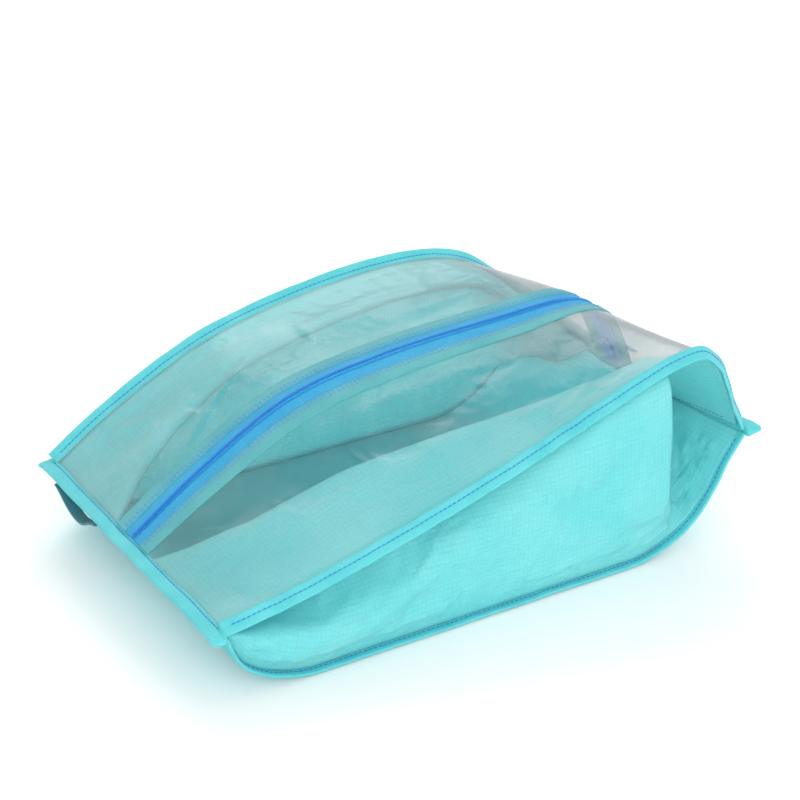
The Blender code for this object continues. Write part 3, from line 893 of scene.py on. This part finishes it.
def end_binding(name, node, outer_x, direction, height, bow):
    """The wide tape over an end seam. It bows at the heel, and its ends roll over."""
    n = 300
    edge = HALF_SEAM + FLANGE + 0.0030
    y = np.linspace(-edge, edge, n)
    along = y + edge
    wave = ripple(along, 0 * along, 81 if bow else 83, 0.045) * 0.00045
    roll = step(np.abs(y), HALF_SEAM - 0.002, edge)
    inner = HEEL_COVER if bow else TOE_COVER
    x = np.full(n, outer_x)
    inside = np.clip(y, -HALF_SEAM - FLANGE, HALF_SEAM + FLANGE)
    origin = place(x, inside, height + wave - 0.0014 * roll)
    origin[:, 1] = y
    reach = np.tile(np.array([direction, 0, 0.0]), (n, 1))
    up = np.tile(np.array([0, 0, 1.0]), (n, 1))
    lean = (0.05 + 0.06 * ripple(along, 0 * along, 87 if bow else 89, 0.08))
    reach = reach * np.cos(lean)[:, None] + up * np.sin(lean)[:, None] * 0.5
    reach = unit(reach)
    up = unit(np.cross(reach, np.tile(np.array([0, direction, 0.0]), (n, 1))))
    section = band_section(-inner, -0.0002, 0.0060, 0.0024, -END_GROOVE, 12)
    obj = ribbon(f"{name}_binding_tape", origin, reach, up, section, along, taper=0.0035)
    ride(obj, BINDING, replaces=[node])
    sewn = np.abs(y) < HALF_SEAM + 0.0005
    two_rows(f"{name}_stitch", origin + reach * -END_GROOVE, up, 0.00205, sewn, length=0.0027)


# ---- zip
def strip(name, side, span, section, lift=0.0, count=330):
    """A closed band along the zip; section is (distance from the middle, height) points."""
    share = np.linspace(*span, count)
    rings, flags = [], []
    for y, h in section:
        spot, _ = lid(share, np.full(count, y), side, np.full(count, h + lift))
        rings.append(spot)
        flags.append(carried_by(share, np.full(count, y), side))
    rings = np.stack(rings, 1)
    carried = np.stack(flags, 1)
    n, k = rings.shape[:2]
    index = np.arange(n * k).reshape(n, k)
    ahead = np.roll(index, -1, axis=1)
    quads = np.stack([index[:-1], ahead[:-1], ahead[1:], index[1:]], -1).reshape(-1, 4)
    faces = quads.tolist() + [index[0, ::-1].tolist(), index[-1].tolist()]
    across = np.array([p[0] for p in section])
    uv = np.stack([np.broadcast_to((share * ZIP.length)[:, None], (n, k)),
                   np.broadcast_to(across[None], (n, k))], -1).reshape(-1, 2)
    obj = mesh_object(name, rings.reshape(-1, 3), faces, uv, carried.ravel())
    return right_way_out(obj)


def flat_section(inner, outer, thick, top_extra=0.0, count=8):
    half = thick / 2
    upper = [(mix(inner + half, outer - half, k / (count - 1)),
              half + top_extra * math.sin(math.pi * k / (count - 1))) for k in range(count)]
    lower = [(y, -half) for y, _ in reversed(upper)]
    return upper + [(outer, 0.0)] + lower + [(inner, 0.0)]


def row_on_lid(name, side, y, lift, mat, slot, span, **how):
    share = np.linspace(*span, 500)
    path, normal = lid(share, np.full(500, y), side, np.full(500, lift))
    row = stitches(name, path, normal, weights=carried_by(share, np.full(500, y), side), **how)
    open_with(row, mat, side)


def zip_side(side):
    name = word(side)
    tape = strip(f"{name}_tape_weave", side, (0.0, 1.0), flat_section(*TAPE_SPAN, 0.00055))
    open_with(tape, TAPE, side, [f"{name}_zip_tape"])
    trim = strip(f"{name}_trim_tape", side, (0.0, 1.0),
                 flat_section(*TRIM_SPAN, 0.0011, 0.00015), 0.0003)
    open_with(trim, TRIM, side, [f"{name}_zip_trim"])
    for label, y, lift in (("inner", 0.0110, 0.00092), ("middle", 0.0131, 0.00098)):
        row_on_lid(f"{name}_trim_stitch_{label}", side, y, lift, PALE_THREAD, "coil",
                   (0.006, 0.994), length=0.0021, gap=0.0009)
    row_on_lid(f"{name}_chain_stitch", side, 0.0026, 0.00030, BLUE_THREAD, "coil",
               (0.004, 0.994), length=0.0010, gap=0.0003, radius=0.00016, rise=0.0001)
    coil(side)


def coil(side):
    """One half of the chain: a wound coil whose heads lock between the other half's."""
    pitch, turn_points, ring = 0.00125, 12, 5
    end = 1.0 - (SLIDER_FROM_SEAM - 0.004) / ZIP.length
    turns = int((end - 0.003) * ZIP.length / pitch)
    t = np.arange(turns * turn_points + 1) / turn_points
    share = 0.003 + (t * pitch + (0.5 * pitch if side > 0 else 0.0)) / ZIP.length
    angle = 2 * math.pi * t
    y = 0.00085 + 0.00100 * np.cos(angle) * -1.0
    head = np.clip(-np.cos(angle) * -1.0, 0, 1)
    height = 0.00050 * np.sin(angle) + 0.00035
    centre, _ = lid(share, np.maximum(y, 0.0), side, height)
    centre[:, 1] += side * np.minimum(y, 0.0)
    way = unit(np.gradient(centre, axis=0))
    guide = unit(np.stack([0 * t + 1, 0 * t, 0 * t], -1))
    b = unit(np.cross(way, guide))
    c = np.cross(way, b)
    radius = 0.00027 + 0.00007 * (head > 0.7)
    points, faces = [], []
    for j in range(ring):
        w = 2 * math.pi * j / ring
        points.append(centre + radius[:, None] * (b * math.cos(w) + c * math.sin(w)))
    points = np.stack(points, 1)
    n = len(t)
    index = np.arange(n * ring).reshape(n, ring)
    ahead = np.roll(index, -1, axis=1)
    quads = np.stack([index[:-1], ahead[:-1], ahead[1:], index[1:]], -1).reshape(-1, 4)
    faces = quads.tolist() + [index[0, ::-1].tolist(), index[-1].tolist()]
    carried = np.repeat(carried_by(share, np.zeros(n), side)[:, None], ring, 1).ravel()
    uv = np.repeat(np.stack([t * 0.004, y], -1)[:, None], ring, 1).reshape(-1, 2)
    obj = mesh_object(f"{word(side)}_coil_winding", points.reshape(-1, 3), faces, uv, carried)
    right_way_out(obj)
    open_with(obj, COIL, side, [f"{word(side)}_zip_coil"])


def zip_frame(share):
    origin, _ = lid(share, 0.0, 1)
    ahead, _ = lid(share + 0.01, 0.0, 1)
    behind, _ = lid(share - 0.01, 0.0, 1)
    along = Vector(ahead - behind).normalized()
    out = along.cross(Vector((0, 1, 0))).normalized()
    turn = Matrix((along, Vector((0, 1, 0)), out)).transposed().to_4x4()
    return Matrix.Translation(Vector(origin)) @ turn


def rounded(name, outline, low, high, bevel=0.00035, segments=3):
    """A plate cut to an outline in its own plane, with rolled edges."""
    n = len(outline)
    points = [(x, y, low) for x, y in outline] + [(x, y, high) for x, y in outline]
    faces = [list(range(n))[::-1], list(range(n, 2 * n))]
    faces += [[i, (i + 1) % n, n + (i + 1) % n, n + i] for i in range(n)]
    obj = mesh_object(name, points, faces)
    rim = obj.modifiers.new("rim", "BEVEL")
    rim.width, rim.segments, rim.limit_method, rim.angle_limit = bevel, segments, "ANGLE", 0.6
    return obj


def merged(name, objs, matrix):
    """Joins helper objects, modifiers applied, into one mesh in place."""
    graph = bpy.context.evaluated_depsgraph_get()
    points, faces = [], []
    for o in objs:
        mesh = o.evaluated_get(graph).data
        start = len(points)
        points += [matrix @ (o.matrix_world @ v.co) for v in mesh.vertices]
        faces += [[start + i for i in p.vertices] for p in mesh.polygons]
    for o in objs:
        bpy.data.objects.remove(o, do_unlink=True)
    obj = mesh_object(name, points, faces, [(p[0], p[1]) for p in points])
    right_way_out(obj)
    obj.data.set_sharp_from_angle(angle=math.radians(38))
    return obj


def arc_tube(name, path, radius_w, radius_h, ring=12):
    """A bar of oval section along a path in the XZ plane."""
    path = np.array(path)
    way = unit(np.gradient(path, axis=0))
    b = np.tile(np.array([0, 1.0, 0]), (len(path), 1))
    c = np.cross(way, b)
    rings = np.stack([path + b * radius_w * math.cos(w) + c * radius_h * math.sin(w)
                      for w in np.arange(ring) * 2 * math.pi / ring], 1)
    obj, _ = sweep(name, rings, np.zeros(len(path)))
    return obj


def slider():
    """Two shaped plates with side guides, a wedge between them, the bridge on top."""
    at = zip_frame(1.0 - SLIDER_FROM_SEAM / ZIP.length)
    outline = [(-0.0075, -0.0030), (-0.0075, 0.0030), (-0.0052, 0.0040), (-0.0015, 0.0046),
               (0.0020, 0.0056), (0.0058, 0.0054), (0.0075, 0.0038), (0.0072, 0.0012),
               (0.0064, 0.0), (0.0072, -0.0012), (0.0075, -0.0038), (0.0058, -0.0054),
               (0.0020, -0.0056), (-0.0015, -0.0046), (-0.0052, -0.0040)]
    parts = [rounded("plate_a", outline, 0.0018, 0.0030),
             rounded("plate_b", outline, -0.0030, -0.0018)]
    for sign in (-1, 1):
        guide = [(x, sign * y) for x, y in ((-0.0072, 0.0024), (-0.0072, 0.0031), (-0.0052, 0.0041),
                                            (-0.0015, 0.0047), (0.0020, 0.0056), (0.0050, 0.0055),
                                            (0.0050, 0.0048), (0.0020, 0.0049), (-0.0015, 0.0040),
                                            (-0.0050, 0.0034))]
        if sign < 0:
            guide = guide[::-1]
        parts.append(rounded("guide", guide[::-1], 0.0009, 0.0022, 0.0002, 2))
        parts.append(rounded("guide", guide[::-1], -0.0022, -0.0009, 0.0002, 2))
    wedge = [(0.0066, 0.0), (0.0060, 0.0018), (0.0040, 0.0017), (0.0022, 0.0004),
             (0.0022, -0.0004), (0.0040, -0.0017), (0.0060, -0.0018)]
    parts.append(rounded("wedge", wedge, -0.0022, 0.0022, 0.0002, 2))
    a = np.linspace(0, math.pi, 24)
    arch = np.stack([-BRIDGE_BACK + 0.0031 * np.cos(a), 0 * a,
                     0.0026 + 0.0034 * np.sin(a) ** 0.7], -1)
    parts.append(arc_tube("bridge", arch, 0.00115, 0.00055))
    obj = merged("slider_casting", parts, at)
    ride(obj, PAINT, "zip_slider", ["slider_body"])


def pull():
    """A tab with a raised rim and a rectangular eye that goes round the bridge."""
    pivot = zip_frame(1.0 - SLIDER_FROM_SEAM / ZIP.length) @ Vector((-BRIDGE_BACK, 0, 0.0042))
    turn = zip_frame(1.0 - SLIDER_FROM_SEAM / ZIP.length).to_3x3().to_4x4()
    at = Matrix.Translation(pivot) @ turn @ Matrix.Rotation(-PULL_REST, 4, "Y")
    half = 0.0034
    bars = [rounded("bar", [(-0.0007, -half), (0.0007, -half), (0.0007, half), (-0.0007, half)],
                    -0.00065, 0.00065, 0.0003)]
    for sign in (-1, 1):
        y0, y1 = sorted((sign * 0.0018, sign * half))
        bars.append(rounded("side", [(0.0, y0), (0.0066, y0), (0.0066, y1), (0.0, y1)],
                            -0.00065, 0.00065, 0.0003))
    a = np.linspace(-math.pi / 2, math.pi / 2, 11)
    tip = [(0.0168 + 0.0034 * math.cos(t), 0.0034 * math.sin(t)) for t in a]
    plate = [(0.0062, -half)] + tip + [(0.0062, half)]
    bars.append(rounded("plate", plate, -0.00045, 0.00045, 0.0003))
    for sign in (-1, 1):
        y0, y1 = sorted((sign * 0.0026, sign * half))
        bars.append(rounded("rim", [(0.0062, y0), (0.0168, y0), (0.0168, y1), (0.0062, y1)],
                            -0.0008, 0.0008, 0.0003))
    for k in range(4):
        x = 0.0095 + 0.0020 * k
        bars.append(rounded("grip", [(x, -0.0022), (x + 0.0008, -0.0022), (x + 0.0008, 0.0022),
                                     (x, 0.0022)], -0.0007, 0.0007, 0.0002, 2))
    obj = merged("pull_casting", bars, at)
    ride(obj, PAINT, "pull", ["pull_tab"])


def loop():
    """Ribbed webbing sewn under the toe seam at both ends, hanging in a shallow bow."""
    n = 140
    t = np.linspace(0, 1, n)
    drop = LOOP_DROP * np.sin(math.pi * t) ** 1.4
    y = mix(LOOP_FROM, LOOP_TO, t)
    z = LOOP_TOP - drop
    x = mix(0.0076, 0.0002, 0.5) - LENGTH / 2 + 0 * t
    origin = np.stack([x, y, z], -1)
    way = unit(np.gradient(origin, axis=0))
    reach = np.tile(np.array([-1.0, 0, 0]), (n, 1))
    up = unit(np.cross(way, reach)) * -1
    sway = ripple(t * 0.07, 0 * t, 97, 0.03) * 0.0002
    origin = origin + up * sway[:, None]
    half = 0.0036
    section = [(half * k / 7, 0.00062 + (0.0001 if k % 2 else 0.0)) for k in range(-7, 8)]
    section = section + [(half + 0.0004, 0.0)] + [(r, -h) for r, h in reversed(section)]
    section = section + [(-half - 0.0004, 0.0)]
    along = np.concatenate([[0.0], np.cumsum(np.linalg.norm(np.diff(origin, axis=0), axis=1))])
    obj = ribbon("webbing_loop", origin, reach, up, section, along)
    ride(obj, WEBBING, "loop", ["carry_loop"])


def build():
    base_panel()
    for side in (-1, 1):
        gusset(side)
        film(side)
        top_binding(side)
        base_binding(side)
        zip_side(side)
    end_binding("toe", "toe_binding", 0.0, -1, TOE_HEIGHT, False)
    end_binding("heel", "heel_binding", LENGTH, 1, HEEL_HEIGHT, True)
    slider()
    pull()
    loop()


# ---- studio
def studio():
    bpy.ops.mesh.primitive_plane_add(size=14, location=(0, 0, -0.0006))
    floor = bpy.context.object
    floor.name = "studio_floor"
    s = Shader("floor_white")
    s.set(Base_Color=(0.93, 0.93, 0.93, 1), Roughness=0.9, Specular_IOR_Level=0.1)
    floor.data.materials.append(s.mat)

    world = bpy.data.worlds.new("studio")
    bpy.context.scene.world = world
    world.use_nodes = True
    world.node_tree.nodes["Background"].inputs[0].default_value = (1, 1, 1, 1)
    world.node_tree.nodes["Background"].inputs[1].default_value = AMBIENT

    for name, spot, size, power in LIGHTS:
        light = bpy.data.lights.new(name, "AREA")
        light.shape, light.size, light.energy = "SQUARE", size, power
        obj = bpy.data.objects.new(name, light)
        bpy.context.scene.collection.objects.link(obj)
        obj.location = spot
        obj.rotation_euler = (Vector((0, 0, 0.05)) - Vector(spot)).to_track_quat(
            "-Z", "Y").to_euler()

    turn, rise, distance = math.radians(31.44), math.radians(26.61), 1.30
    back = Vector((-math.sin(turn) * math.cos(rise), -math.cos(turn) * math.cos(rise),
                   math.sin(rise)))
    lens = bpy.data.cameras.new("camera")
    lens.lens, lens.sensor_width = 96.2, 36.0
    camera = bpy.data.objects.new("camera", lens)
    bpy.context.scene.collection.objects.link(camera)
    camera.location = Vector((0.0065, 0.0075, 0.0831)) + back * distance
    camera.rotation_euler = (-back).to_track_quat("-Z", "Y").to_euler()
    bpy.context.scene.camera = camera
    bpy.context.scene.view_settings.view_transform = "Standard"


build()
studio()
